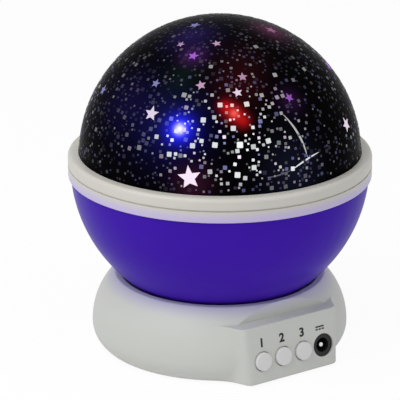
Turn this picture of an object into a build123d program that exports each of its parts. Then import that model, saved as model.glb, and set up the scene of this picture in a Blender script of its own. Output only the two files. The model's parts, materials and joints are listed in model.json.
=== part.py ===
"""Star night light projector: a turning globe on a round base, in millimetres.

The origin is on the floor under the middle of the base, +Z is up and the control
panel faces -Y.  The base holds the cells, the motor, its gears, the three buttons and
the power inlet.  A fixed post carries the lamps inside the globe, and the globe
(bowl, ring gear, trim ring and star dome) turns around that post.
"""
from build123d import *
import math
import os

# ------------------------------------------------------------------ driving sizes
# Fits and gaps
seat_gap = 0.8            # bowl to the dished top of the base
running_gap = 0.1         # turning bores and their pins, on the radius
slide_gap = 0.3           # buttons and loose covers, all round
face_gap = 0.1            # flat faces that pass each other
screw_gap = 0.25          # a screw in a hole that it doesn't bite
overrun = 1.0             # cuts run this far past the face they open

# Globe
globe_r = 61.6            # outside of the bowl, a ball
bowl_wall = 2.0
bowl_flat_r = 27.94       # radius of the flat under the bowl
bowl_edge = 1.5           # rounding round that flat
bowl_short = 4.3          # the bowl ends this far under the ball's middle
hub_wall = 2.6
hub_height = 12.6         # over the flat
ring_proud = 0.9          # the trim ring stands out this far from the ball
ring_lip = 4.4            # from the ring's outside in to the dome
ring_height = 10.0
ring_groove = 0.5         # depth of the line round the trim ring
ring_groove_height = 0.7
ring_skirt = 4.0          # how far the ring plugs into the bowl
ring_skirt_wall = 1.8
ring_ledge = 6.0          # height of the dome's seat above the ring's lower edge
ring_edge = 1.8           # rounding of the ring's upper edge
dome_wall = 1.6
dome_sink = 2.4           # the dome's middle lies this far under the ring's top

# Base
foot_proud = 1.0          # feet stand out under the base
rim_rise = 8.2            # rim over the flat under the bowl
rim_land = 2.36           # width of the rim round the dish
rim_edge = 0.8
foot_edge = 0.8           # rounding under the wall and the panel
belly_out = 9.55          # the belly stands out this far from the rim
belly_z = 9.0
belly_round = 10.3        # radius of the outline under the belly
base_wall = 2.0
plate_t = 2.0
well_gap = 1.28           # round the drive pinion, in the gear well
well_depth = 2.2          # under the ring gear
floor_t = 1.8
boss_r = 3.0
boss_inset = 9.3          # from the belly in to the bosses' middles
boss_angles = (25, 155, 205, 335)
foot_r = 5.0
foot_inset = 11.3         # from the belly in to the feet's middles
foot_angles = (45, 135, 225, 315)
foot_recess = 0.7
screw_r = 1.3
screw_head_r = 2.5
screw_head_t = 1.2
base_screw_length = 9.0

# Control panel, on the flat that leans back at the front
face_inset = 2.1          # the face lies this far inside the belly, half way up
face_z = 13.9
face_lean = 8.5
panel_half = 22.5
panel_flare = 25.0        # degrees that each cheek opens towards the back
panel_depth = 20.0
ledge_drop = 6.0          # top of the panel block under the rim
cheek_round = 3.4
cheek_blend = 6.0         # hollow between a cheek and the round wall
block_edge = 0.5
row_v = -3.8              # buttons and inlet, along the face from its middle
button_count = 3
button_first = -14.8      # middle of the first button, along the face
button_pitch = 10.0
button_r = 3.8
button_proud = 1.3
button_edge = 0.5
button_flange_lap = 0.7
button_flange_t = 0.8
button_travel = 0.6
plunger_r = 1.75
plunger_proud = 0.8
plunger_sunk = 1.0
stem_length = 1.9
switch_side = 6.0
switch_height = 3.5
board_t = 1.6
board_end = 5.0           # board beyond the first and last button
board_low = -8.0
board_high = 9.0
board_post_v = 6.0
board_post_r = 2.2
board_screw_r = 1.0
board_screw_head_r = 1.9
board_screw_head_t = 1.2
board_screw_length = 5.0
inlet_u = 15.5
inlet_r = 4.8
inlet_sunk = 0.7
inlet_housing = 9.4
inlet_length = 11.0
inlet_bore_r = 3.0
inlet_bore_depth = 9.5
inlet_pin_r = 1.0

# Cells and their bay
cell_r = 5.25
cell_length = 43.3
cell_nub_r = 1.9
cell_nub = 1.2
cell_gap = 0.2            # between two cells
cell_headroom = 1.8       # over the cells, under the gear well
cell_count = 4
bay_clear = 0.3           # from the bay's back wall to the wheel on the output shaft
bay_gap = 0.4
bay_wall = 1.4
bay_wall_height = 8.0
contact_t = 0.4
contact_width = 8.0
contact_tongue = 6.0
contact_end = 1.0         # straight end above the tongue
contact_clear = 0.5       # from the bottom plate to the strip's foot
door_t = 2.0
door_up = 0.2             # the door lies this far inside the underside
door_lap = 2.0            # how far the tabs and the ear run onto the door
tab_x = 12.0
tab_width = 6.0
tab_reach = 1.5
tab_t = 1.0
tab_room = 2.0            # height over a tab for the door to tilt
ear_half = 5.0
ear_reach = 7.0
ear_t = 1.2
ear_roof_t = 1.3
ear_roof_edge = 1.5
door_screw_back = 4.2     # from the bay's edge to the door screw
door_boss_r = 3.2
door_boss_top = 7.5
door_screw_length = 4.0
grip_lines = 7
grip_pitch = 2.0
grip_width = 0.8
grip_depth = 0.4
grip_length = 5.0
grip_back = 9.0           # from the bay's edge to the finger grip

# Drive
pressure_angle = math.radians(25)
backlash = 0.12
fine_module = 0.5
coarse_module = 0.8
wheel_teeth = 40
pinion_teeth = 10
ring_gear_teeth = 54
drive_pinion_teeth = 12
wheel_addendum = 0.8      # times the module
pinion_addendum = 0.9
dedendum = 1.2
ring_gear_t = 2.6
drive_pinion_t = 2.2
wheel_t = 1.8
pinion_t = 2.6
output_shaft_r = 1.5
axle_r = 0.9
axle_sunk = 1.0           # the axle starts this far up in the bottom plate
bearing_wall = 1.6
low_gear_z = 5.4          # wheel on the idler
high_gear_z = 9.6         # wheel on the output shaft
idler_angle = 16.0        # from the output shaft
motor_angle = 20.0        # from the idler
motor_r = 6.0
motor_height = 11.0
motor_flat = 5.0          # half the width across the motor's flats
motor_nose_r = 2.0
motor_nose = 0.9
motor_shaft_r = 0.75
motor_shaft_in = 2.5
motor_bore = 3.0
terminal_width = 2.0
terminal_t = 0.4
terminal_height = 1.2
bracket_clear = 0.5       # over the wheel on the idler
bracket_t = 0.9
pinion_hub_r = 2.4
bracket_edge = 2.2
leg_r = 2.0
leg_reach = 9.6
leg_angles = (-60, 120)
leg_peg_r = 1.0
leg_peg = 1.2
thrust_t = 0.8
thrust_r = 10.5
clip_t = 1.2
clip_width = 2.4
clip_mouth = 7.0
gear_screw_ring = 14.8
gear_screw_angles = (30, 150, 270)
gear_screw_r = 1.1
gear_screw_head_r = 2.0
gear_screw_head_t = 0.9
gear_screw_length = 6.6
gear_boss_r = 2.8
gear_boss_height = 5.6    # over the flat

# Light
post_r = 6.5
post_wall = 2.0
post_foot_r = 12.0
post_foot_t = 1.0
post_screw_ring = 9.3
post_screw_r = 0.8
post_screw_head_r = 1.5
post_screw_head_t = 0.8
post_screw_length = 2.4
post_screw_angles = (0, 120, 240)
light_board_rise = 0.6    # over the trim ring's top
light_board_r = 21.0
post_head_r = 12.5
post_head_t = 2.0
post_head_chamfer = 1.6
lamp_edge = 1.3           # from a lamp's flange to the board's edge
lamp_r = 2.5
lamp_flange_r = 2.9
lamp_flange_t = 1.0
lamp_height = 8.6
lamp_angles = {"led_blue": 130, "led_red": 40, "led_green": -50, "led_white": 220}
head_screw_ring = 9.6

# ------------------------------------------------------------------ worked-out places
base_z = foot_proud
plate_top = base_z + plate_t
door_z = base_z + door_up
cell_bottom = door_z + door_t + slide_gap
well_floor = cell_bottom + 2 * cell_r + cell_headroom + floor_t
gear_z = well_floor + well_depth
bowl_flat = gear_z + ring_gear_t
globe_z = bowl_flat + round(math.sqrt(globe_r**2 - bowl_flat_r**2), 2)
dish_r = globe_r + seat_gap
rim_z = bowl_flat + rim_rise
rim_r = round(math.sqrt(dish_r**2 - (globe_z - rim_z) ** 2) + rim_land, 2)
belly_r = rim_r + belly_out
shoulder_round = (belly_out**2 + (rim_z - belly_z) ** 2) / (2 * belly_out)
boss_ring = belly_r - boss_inset
foot_ring = belly_r - foot_inset
face_y = belly_r - face_inset
ledge_z = rim_z - ledge_drop
ring_z = globe_z - bowl_short
ring_top = ring_z + ring_height
ring_r = globe_r + ring_proud
dome_r = ring_r - ring_lip
dome_z = ring_top - dome_sink
dome_foot = ring_z + ring_ledge
hub_r = post_r + running_gap + hub_wall
hub_top = bowl_flat + hub_height
flange_top = well_floor + post_foot_t
thrust_top = flange_top + thrust_t
hub_bottom = thrust_top + face_gap
post_bore = post_r - post_wall
light_board_z = ring_top + light_board_rise
lamp_ring = light_board_r - lamp_flange_r - lamp_edge

button_u = [button_first + button_pitch * place for place in range(button_count)]
button_back = base_wall + slide_gap + button_flange_t
plunger_tip = button_back + stem_length
switch_face = plunger_tip + plunger_proud
board_face = switch_face + switch_height
board_post_u = [u + button_pitch / 2 for u in button_u[:-1]]

pinion_distance = (ring_gear_teeth + drive_pinion_teeth) * coarse_module / 2
wheel_distance = (wheel_teeth + pinion_teeth) * fine_module / 2
wheel_tip_r = (wheel_teeth / 2 + wheel_addendum) * fine_module
well_r = pinion_distance + (drive_pinion_teeth / 2 + pinion_addendum) * coarse_module + well_gap
output_x, output_y = 0.0, pinion_distance
idler_x = output_x + wheel_distance * math.cos(math.radians(idler_angle))
idler_y = output_y + wheel_distance * math.sin(math.radians(idler_angle))
motor_x = idler_x + wheel_distance * math.cos(math.radians(motor_angle))
motor_y = idler_y + wheel_distance * math.sin(math.radians(motor_angle))
motor_z = low_gear_z + wheel_t + bracket_clear + bracket_t

cell_pitch = 2 * cell_r + cell_gap
bay_half_x = cell_length / 2 + cell_nub + contact_t + bay_gap
bay_back = output_y - wheel_tip_r - bay_clear - bay_wall
bay_middle_y = bay_back - cell_pitch * (cell_count - 1) / 2 - cell_r - bay_gap
bay_front = 2 * bay_middle_y - bay_back
door_screw_y = bay_front - door_screw_back

panel = Plane(
    origin=(0, -face_y, face_z),
    x_dir=(1, 0, 0),
    z_dir=(0, -math.cos(math.radians(face_lean)), math.sin(math.radians(face_lean))),
)

LOW = (Align.CENTER, Align.CENTER, Align.MIN)
HIGH = (Align.CENTER, Align.CENTER, Align.MAX)


# ------------------------------------------------------------------ small helpers
def rod(radius, z0, z1, x=0.0, y=0.0):
    """Upright cylinder between two heights."""
    return Pos(x, y, z0) * Cylinder(radius, z1 - z0, align=LOW)


def slab(x0, x1, y0, y1, z0, z1):
    """Box between two corners."""
    return Pos((x0 + x1) / 2, (y0 + y1) / 2, z0) * Box(x1 - x0, y1 - y0, z1 - z0, align=LOW)


def polar(radius, degrees):
    """Plan position on a circle about the axis."""
    turn = math.radians(degrees)
    return radius * math.cos(turn), radius * math.sin(turn)


def group(solids):
    """Separate solids that share a node."""
    return Compound(children=list(solids))


def outline(*lines):
    """Face between lines that close on each other."""
    return make_face([edge for line in lines for edge in line.edges()])


def turned(face):
    """Solid of revolution of a (radius, height) outline about the axis."""
    return revolve(Plane.XZ * face, Axis.Z)


def rounded(face, corners, radius):
    """Round the named corners of a flat outline."""
    for corner in corners:
        nearest = face.vertices().sort_by_distance((corner[0], corner[1], 0))[0]
        face = fillet(nearest, radius)
    return face


def ball_point(radius, middle, z):
    """Point at height z on a ball whose middle is on the axis."""
    return round(math.sqrt(max(0.0, radius**2 - (z - middle) ** 2)), 4), z


def ball_arc(radius, middle, z0, z1):
    """Meridian of that ball between two heights."""
    a0 = math.asin(round((z0 - middle) / radius, 9))
    a1 = math.asin(round((z1 - middle) / radius, 9))
    half = (a0 + a1) / 2
    halfway = (radius * math.cos(half), middle + radius * math.sin(half))
    return ThreePointArc(ball_point(radius, middle, z0), halfway, ball_point(radius, middle, z1))


def side_arc(z_end, round_r, inset=0.0):
    """Outline of the base's wall: upright at the belly, bending in until z_end."""
    middle = belly_r - round_r
    reach = round_r - inset
    bend = math.asin((z_end - belly_z) / reach)
    halfway = (middle + reach * math.cos(bend / 2), belly_z + reach * math.sin(bend / 2))
    end = (middle + reach * math.cos(bend), z_end)
    return ThreePointArc((belly_r - inset, belly_z), halfway, end), end


def on_face(u, v, shape):
    """Place a shape made along +Z on the panel; its Z=0 lies in the face."""
    return panel.location * Pos(u, v, 0) * shape


def face_rod(radius, out, back):
    """Cylinder square to the panel, from 'out' in front of it to 'back' behind it."""
    return Pos(0, 0, -back) * Cylinder(radius, out + back, align=LOW)


# ------------------------------------------------------------------ gear teeth
def involute(angle):
    return math.tan(angle) - angle


def tooth_half_angle(radius, teeth, module):
    """Half the angle that one tooth fills at a radius, with the backlash taken off."""
    pitch_r = teeth * module / 2
    base_r = pitch_r * math.cos(pressure_angle)
    here = math.acos(min(1.0, base_r / radius))
    at_pitch = math.pi / (2 * teeth) - backlash / (2 * pitch_r)
    return at_pitch + involute(pressure_angle) - involute(here)


def gear(teeth, module, addendum, thickness, phase, bore=0.0):
    """Spur gear with involute flanks, one tooth pointing at the angle 'phase'."""
    pitch_r = teeth * module / 2
    base_r = pitch_r * math.cos(pressure_angle)
    tip_r = pitch_r + addendum * module
    root_r = pitch_r - dedendum * module
    flank_r = max(root_r, base_r)
    radii = [flank_r, (flank_r + tip_r) / 2, tip_r]
    if root_r < base_r:
        radii.insert(0, root_r)
    points = []
    for tooth in range(teeth):
        middle = math.radians(phase) + 2 * math.pi * tooth / teeth
        flank = [(r, tooth_half_angle(max(r, base_r), teeth, module)) for r in radii]
        points += [(r * math.cos(middle - a), r * math.sin(middle - a)) for r, a in flank]
        points += [(r * math.cos(middle + a), r * math.sin(middle + a)) for r, a in reversed(flank)]
    wheel = extrude(make_face(Polyline(*points, close=True)), thickness)
    if bore:
        wheel -= rod(bore, 0, thickness)
    return wheel


# ------------------------------------------------------------------ base housing
def base_form():
    """Round body of the base, still solid."""
    lower, foot = side_arc(base_z, belly_round)
    upper, rim = side_arc(rim_z, shoulder_round)
    face = outline(
        Polyline((foot[0], foot[1]), (0, base_z), (0, rim_z), (rim[0], rim[1])),
        upper,
        lower,
    )
    return turned(rounded(face, [rim], rim_edge))


def base_cavity():
    """Room inside the round body, under the dish and its well."""
    seat = plate_radius()
    lower, inner = side_arc(plate_top, belly_round, base_wall)
    roof = rim_z - base_wall
    upper, top = side_arc(roof, shoulder_round, base_wall)
    face = outline(
        Polyline(inner, (seat, plate_top), (seat, base_z), (0, base_z), (0, roof), top),
        upper,
        lower,
    )
    return turned(face)


def dish(growth, floor):
    """What the dish and its gear well take out of the base, down to a floor."""
    ball = Pos(0, 0, globe_z) * Sphere(dish_r + growth)
    above = slab(-belly_r, belly_r, -belly_r, belly_r, floor, globe_z)
    return (ball & above) + rod(well_r + growth, floor, rim_z)


def plate_radius():
    """Opening under the base that takes the bottom plate."""
    return side_arc(base_z, belly_round)[1][0] - base_wall


def panel_plan(side=0.0):
    """Plan of the panel block, run on past the face; 'side' draws the cheeks in."""
    flare = math.tan(math.radians(panel_flare))
    front = face_y + panel_depth / 2
    back = face_y - panel_depth
    half_front = panel_half - flare * (front - face_y) - side
    half_back = panel_half + flare * panel_depth - side
    return make_face(
        Polyline(
            (-half_front, -front), (half_front, -front), (half_back, -back), (-half_back, -back),
            close=True,
        )
    )


def panel_block(inset, z0, z1):
    """Block behind the control panel, or the same block that much further in."""
    side = inset / math.cos(math.radians(panel_flare))
    block = extrude(Pos(0, 0, z0) * panel_plan(side), z1 - z0)
    return split(block, bisect_by=panel.offset(-inset), keep=Keep.BOTTOM)


def panel_ledge(z0, inset):
    """What is cut away above the panel block, back to a flat that touches the rim."""
    return slab(-belly_r, belly_r, -belly_r, inset - rim_r, z0, rim_z + overrun)


def rounded_block():
    """Panel block with the corners of its face rounded."""
    block = panel_block(0, base_z, ledge_z)
    cheeks = block.faces().sort_by(Axis.Y)[0].edges().sort_by(Axis.X)
    return fillet([cheeks[0], cheeks[-1]], cheek_round)


def housing_form():
    """Round body and panel block as one, still solid, with a hollow along each cheek."""
    body = split(base_form(), bisect_by=panel, keep=Keep.BOTTOM)
    block = rounded_block()
    form = body + block
    seams = new_edges(body, block, combined=form)
    form = fillet([edge for edge in seams if edge.bounding_box().size.Z > cheek_round], cheek_blend)
    form = fillet(form.edges().group_by(Axis.Z)[0], foot_edge)
    lips = form.edges().filter_by_position(Axis.Z, ledge_z - face_gap, ledge_z + face_gap)
    form = fillet(lips.sort_by(SortBy.LENGTH)[:-1], block_edge)
    return form - panel_ledge(ledge_z, 0)


def screw_boss(angle):
    """Boss that takes a screw from the bottom plate."""
    x, y = polar(boss_ring, angle)
    return rod(boss_r, plate_top, rim_z - base_wall, x, y)


def board_post(u):
    """Post behind the panel that carries the switch board."""
    return on_face(u, board_post_v, face_rod(board_post_r, -base_wall / 2, board_face))


def base_shell():
    """Moulded housing of the base, with its dish, gear well and panel."""
    form = housing_form()
    room = base_cavity() + panel_block(base_wall, base_z, ledge_z - base_wall)
    room -= panel_ledge(ledge_z - base_wall, base_wall)
    room -= dish(base_wall, well_floor - floor_t)
    body = form - room
    for angle in boss_angles:
        body += screw_boss(angle) & form
    for u in board_post_u:
        body += board_post(u) & form
    body -= dish(0, well_floor)
    body -= rod(post_bore, well_floor - floor_t, well_floor)
    body -= rod(output_shaft_r + running_gap, well_floor - floor_t, well_floor, output_x, output_y)
    for angle in boss_angles:
        x, y = polar(boss_ring, angle)
        body -= rod(screw_r, plate_top, base_z + screw_head_t + base_screw_length, x, y)
    for angle in post_screw_angles:
        x, y = polar(post_screw_ring, angle)
        body -= rod(post_screw_r, flange_top - post_screw_length, well_floor, x, y)
    for u in board_post_u:
        bite = face_rod(board_screw_r, board_screw_length - board_face, board_face)
        body -= on_face(u, board_post_v, bite)
    for u in button_u:
        hole = face_rod(button_r + slide_gap, overrun, base_wall + overrun)
        body -= on_face(u, row_v, hole)
    hole = face_rod(inlet_r + face_gap, overrun, base_wall + overrun)
    return body - on_face(inlet_u, row_v, hole)


def base_bottom():
    """Plate under the base, with the cell bay, bosses and bearings on it."""
    plate = rod(plate_radius() - slide_gap, base_z, plate_top)
    plate += panel_block(base_wall + slide_gap, base_z, plate_top)
    plate -= slab(-bay_half_x, bay_half_x, bay_front, bay_back, base_z, plate_top)
    ear_back = bay_front - ear_reach
    roof_half = ear_half + ear_roof_edge
    plate += slab(-roof_half, roof_half, ear_back - ear_roof_edge, bay_front,
                  plate_top, plate_top + ear_roof_t)
    plate -= slab(-ear_half, ear_half, ear_back, bay_front, base_z, door_z + ear_t + slide_gap)
    plate += bay_walls()
    plate += rod(door_boss_r, plate_top, door_boss_top, 0, door_screw_y)
    bite = door_z + door_screw_length + slide_gap
    plate -= rod(screw_r + screw_gap, base_z, bite, 0, door_screw_y)
    bearing_top = low_gear_z - slide_gap
    plate += rod(output_shaft_r + bearing_wall, plate_top, bearing_top, output_x, output_y)
    plate -= rod(output_shaft_r + running_gap, plate_top, bearing_top, output_x, output_y)
    plate += rod(axle_r + bearing_wall, plate_top, bearing_top, idler_x, idler_y)
    plate -= rod(axle_r, base_z + axle_sunk, bearing_top, idler_x, idler_y)
    for angle in leg_angles:
        dx, dy = polar(leg_reach, angle)
        plate -= rod(leg_peg_r, plate_top - leg_peg, plate_top, motor_x + dx, motor_y + dy)
    for angle in boss_angles:
        x, y = polar(boss_ring, angle)
        plate -= rod(screw_r + screw_gap, base_z, plate_top, x, y)
        plate -= rod(screw_head_r + screw_gap, base_z, base_z + screw_head_t, x, y)
    for angle in foot_angles:
        x, y = polar(foot_ring, angle)
        plate -= rod(foot_r, base_z, base_z + foot_recess, x, y)
    return plate


def bay_walls():
    """Four walls round the cells, notched for the door's tabs."""
    top = plate_top + bay_wall_height
    walls = slab(-bay_half_x - bay_wall, bay_half_x + bay_wall,
                 bay_front - bay_wall, bay_back + bay_wall, plate_top, top)
    walls -= slab(-bay_half_x, bay_half_x, bay_front, bay_back, plate_top, top)
    for x in (-tab_x, tab_x):
        half = tab_width / 2 + slide_gap
        walls -= slab(x - half, x + half, bay_back, bay_back + bay_wall,
                      plate_top, plate_top + tab_t + tab_room)
    return walls


def feet():
    """Rubber feet let into the bottom plate."""
    pads = []
    for angle in foot_angles:
        x, y = polar(foot_ring, angle)
        pad = rod(foot_r, 0, base_z + foot_recess, x, y)
        lower = pad.faces().sort_by(Axis.Z)[0].edges()
        pads.append(fillet(lower, foot_proud / 2))
    return group(pads)


def pan_screw(radius, head_radius, head_height, length):
    """Screw that points up, its head's underside seated at Z=0."""
    head = rod(head_radius, -head_height, 0)
    head = fillet(head.faces().sort_by(Axis.Z)[0].edges(), head_height / 3)
    return head + rod(radius, 0, length)


def base_screws():
    """Screws that close the base from below."""
    screw = pan_screw(screw_r, screw_head_r, screw_head_t, base_screw_length)
    return group(
        Pos(*polar(boss_ring, angle), base_z + screw_head_t) * screw for angle in boss_angles
    )


# ------------------------------------------------------------------ cells and their door
def battery_door():
    """Door under the cells: two tabs at the back and a screwed ear at the front."""
    half_x = bay_half_x - slide_gap
    door = slab(-half_x, half_x, bay_front + slide_gap, bay_back - slide_gap, door_z, door_z + door_t)
    tab_z = plate_top + face_gap
    tab_end = bay_back + tab_reach - slide_gap
    for x in (-tab_x, tab_x):
        x0, x1 = x - tab_width / 2, x + tab_width / 2
        door += slab(x0, x1, bay_back - door_lap, bay_back - slide_gap, door_z, tab_z + tab_t)
        door += slab(x0, x1, bay_back - door_lap, tab_end, tab_z, tab_z + tab_t)
    ear_x = ear_half - slide_gap
    ear_back = bay_front - ear_reach + slide_gap
    door += slab(-ear_x, ear_x, ear_back, bay_front + door_lap, door_z, door_z + ear_t)
    grip_y = bay_back - grip_back
    for line in range(grip_lines):
        x = grip_pitch * (line - (grip_lines - 1) / 2)
        door -= slab(x - grip_width / 2, x + grip_width / 2, grip_y, grip_y + grip_length,
                     door_z, door_z + grip_depth)
    return door - rod(screw_r + face_gap, door_z, door_z + ear_t, 0, door_screw_y)


def door_screw():
    """Screw held captive in the door's ear."""
    screw = pan_screw(screw_r, screw_head_r, door_up, door_screw_length)
    return Pos(0, door_screw_y, door_z) * screw


def cell_places():
    """Plan heights of the cells' middles."""
    first = bay_middle_y - cell_pitch * (cell_count - 1) / 2
    return [first + cell_pitch * row for row in range(cell_count)]


def cells():
    """Four small cells side by side, each turned end for end from the last."""
    solids = []
    for row, y in enumerate(cell_places()):
        can = Cylinder(cell_r, cell_length)
        can += Pos(0, 0, (cell_length + cell_nub) / 2) * Cylinder(cell_nub_r, cell_nub)
        way = 90 if row % 2 else -90
        solids.append(Pos(0, y, cell_bottom + cell_r) * Rot(0, way, 0) * can)
    return group(solids)


def contacts():
    """Bent strips that touch the cells' ends."""
    strips = []
    middle = cell_bottom + cell_r
    for side in (-1, 1):
        for row, y in enumerate(cell_places()):
            nub_end = (row % 2 == 1) == (side > 0)
            reach = cell_nub if nub_end else 0.0
            x_cell = cell_length / 2 + reach
            x_wall = bay_half_x
            low = middle - contact_tongue / 2
            high = middle + contact_tongue / 2
            top, foot = high + contact_end, plate_top + contact_clear
            path = Polyline(
                (x_wall, top), (x_wall, high), (x_cell + contact_t, middle),
                (x_wall, low), (x_wall, foot), (x_wall - contact_t, foot),
                (x_wall - contact_t, low), (x_cell, middle), (x_wall - contact_t, high),
                (x_wall - contact_t, top), close=True,
            )
            strip = extrude(Plane.XZ * make_face(path), contact_width / 2, both=True)
            strips.append(Pos(0, y, 0) * (strip if side > 0 else mirror(strip, about=Plane.YZ)))
    return group(strips)


# ------------------------------------------------------------------ control panel
def button(u):
    """Round push button: cap, flange behind the wall and stem to its switch."""
    cap = face_rod(button_r, button_proud, button_back)
    cap = fillet(cap.faces().sort_by(Axis.Z)[-1].edges(), button_edge)
    flange_r = button_r + button_flange_lap
    flange = Pos(0, 0, -button_back) * Cylinder(flange_r, button_flange_t, align=LOW)
    stem = face_rod(plunger_r, -button_back, plunger_tip)
    return on_face(u, row_v, cap + flange + stem)


def plunger(u):
    """Moving peg of one tact switch."""
    return on_face(u, row_v, face_rod(plunger_r, -plunger_tip, switch_face + plunger_sunk))


def tact_switches():
    """Bodies of the three switches, on the switch board."""
    bodies = []
    for u in button_u:
        case = Pos(0, 0, -switch_face) * Box(switch_side, switch_side, switch_height, align=HIGH)
        well = face_rod(plunger_r + running_gap, overrun - switch_face,
                        switch_face + plunger_sunk + button_travel + face_gap)
        bodies.append(on_face(u, row_v, case - well))
    return group(bodies)


def switch_board():
    """Printed board behind the buttons."""
    middle_u = (button_u[0] + button_u[-1]) / 2
    middle_v = (board_low + board_high) / 2
    size = (button_u[-1] - button_u[0] + 2 * board_end, board_high - board_low)
    board = on_face(middle_u, middle_v, Pos(0, 0, -board_face) * Box(*size, board_t, align=HIGH))
    for u in board_post_u:
        hole = face_rod(board_screw_r + face_gap, 0, board_face + board_t + overrun)
        board -= on_face(u, board_post_v, hole)
    return board


def board_screws():
    """Screws that hold the switch board on its posts."""
    screw = pan_screw(board_screw_r, board_screw_head_r, board_screw_head_t,
                      board_screw_length + board_t)
    return group(
        on_face(u, board_post_v, Pos(0, 0, -board_face - board_t) * screw) for u in board_post_u
    )


def power_inlet():
    """Round-nosed power inlet with its housing behind the panel."""
    nose = face_rod(inlet_r, -inlet_sunk, base_wall + overrun)
    housing = Pos(0, 0, -base_wall) * Box(inlet_housing, inlet_housing, inlet_length, align=HIGH)
    bore = face_rod(inlet_bore_r, 0, inlet_bore_depth)
    pin_seat = face_rod(inlet_pin_r, 0, base_wall + inlet_length)
    return on_face(inlet_u, row_v, nose + housing - bore - pin_seat)


def inlet_pin():
    """Centre pin of the power inlet."""
    pin = face_rod(inlet_pin_r, -2 * inlet_sunk, base_wall + inlet_length)
    return on_face(inlet_u, row_v, fillet(pin.faces().sort_by(Axis.Z)[-1].edges(), inlet_pin_r / 3))


# ------------------------------------------------------------------ drive
def drive_motor():
    """Small round motor with two flats and a nose round its shaft."""
    can = rod(motor_r, motor_z, motor_z + motor_height, motor_x, motor_y)
    can &= slab(motor_x - motor_r, motor_x + motor_r, motor_y - motor_flat, motor_y + motor_flat,
                motor_z, motor_z + motor_height)
    can += rod(motor_nose_r, motor_z - motor_nose, motor_z, motor_x, motor_y)
    can -= rod(motor_shaft_r + running_gap, motor_z - motor_nose, motor_z + motor_bore,
               motor_x, motor_y)
    top = motor_z + motor_height
    for side in (-1, 1):
        y = motor_y + side * motor_flat / 2
        can += slab(motor_x - terminal_width / 2, motor_x + terminal_width / 2,
                    y - terminal_t / 2, y + terminal_t / 2, top, top + terminal_height)
    return can


def motor_bracket():
    """Plate under the motor, on two legs that stand on the bottom plate."""
    top = motor_z
    plate = rod(motor_r + bracket_edge, top - bracket_t, top, motor_x, motor_y)
    for angle in leg_angles:
        dx, dy = polar(leg_reach, angle)
        arm = Pos(motor_x, motor_y, top - bracket_t) * Rot(0, 0, angle)
        plate += arm * Pos(leg_reach / 2, 0, 0) * Box(leg_reach, 2 * leg_r, bracket_t, align=LOW)
        plate += rod(leg_r, plate_top, top, motor_x + dx, motor_y + dy)
        plate += rod(leg_peg_r, plate_top - leg_peg, plate_top, motor_x + dx, motor_y + dy)
    return plate - rod(motor_nose_r, top - bracket_t, top, motor_x, motor_y)


def motor_pinion():
    """Motor shaft with its pinion, which drives the idler's wheel."""
    phase = motor_angle + 180 + 180 / pinion_teeth
    pinion = gear(pinion_teeth, fine_module, pinion_addendum, wheel_t, phase)
    shaft = rod(motor_shaft_r, low_gear_z, motor_z + motor_shaft_in)
    return Pos(motor_x, motor_y, 0) * (Pos(0, 0, low_gear_z) * pinion + shaft)


def idler_gear():
    """Two-step gear between the motor and the output shaft."""
    wheel = gear(wheel_teeth, fine_module, wheel_addendum, wheel_t, motor_angle)
    phase = idler_angle + 180 + 180 / pinion_teeth
    pinion = gear(pinion_teeth, fine_module, pinion_addendum, pinion_t, phase)
    pinion_z = high_gear_z - (pinion_t - wheel_t) / 2
    hub = rod(pinion_hub_r, low_gear_z, pinion_z)
    body = Pos(0, 0, low_gear_z) * wheel + hub + Pos(0, 0, pinion_z) * pinion
    return Pos(idler_x, idler_y, 0) * (
        body - rod(axle_r + running_gap, low_gear_z, pinion_z + pinion_t)
    )


def idler_axle():
    """Fixed pin that the idler turns on."""
    top = high_gear_z + pinion_t
    return rod(axle_r, base_z + axle_sunk, top, idler_x, idler_y)


def output_gear():
    """Wheel on the shaft that goes up through the floor of the gear well."""
    wheel = gear(wheel_teeth, fine_module, wheel_addendum, wheel_t, idler_angle)
    shaft = rod(output_shaft_r, plate_top + face_gap, gear_z + drive_pinion_t)
    return Pos(output_x, output_y, 0) * (Pos(0, 0, high_gear_z) * wheel + shaft)


def drive_pinion():
    """Pinion on top of that shaft, beside the ring gear."""
    phase = 270 + 180 / drive_pinion_teeth
    pinion = gear(drive_pinion_teeth, coarse_module, pinion_addendum, drive_pinion_t, phase,
                  output_shaft_r)
    return Pos(output_x, output_y, gear_z) * pinion


def ring_gear():
    """Gear under the bowl, round the hub."""
    wheel = gear(ring_gear_teeth, coarse_module, wheel_addendum, ring_gear_t, 90, hub_r + face_gap)
    for angle in gear_screw_angles:
        x, y = polar(gear_screw_ring, angle)
        wheel -= rod(gear_screw_r + face_gap, 0, ring_gear_t, x, y)
    return Pos(0, 0, gear_z) * wheel


def gear_screws():
    """Screws that hold the ring gear under the bowl."""
    screw = pan_screw(gear_screw_r, gear_screw_head_r, gear_screw_head_t, gear_screw_length)
    return group(Pos(*polar(gear_screw_ring, angle), gear_z) * screw for angle in gear_screw_angles)


def thrust_washer():
    """Slippery washer that the hub turns on."""
    return rod(thrust_r, flange_top, thrust_top) - rod(post_r, flange_top, thrust_top)


def hub_clip():
    """Open ring that snaps on the post above the hub."""
    z0 = hub_top + face_gap
    clip = rod(post_r + clip_width, z0, z0 + clip_t) - rod(post_r, z0, z0 + clip_t)
    return clip - slab(0, post_r + clip_width, -clip_mouth / 2, clip_mouth / 2, z0, z0 + clip_t)


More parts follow.
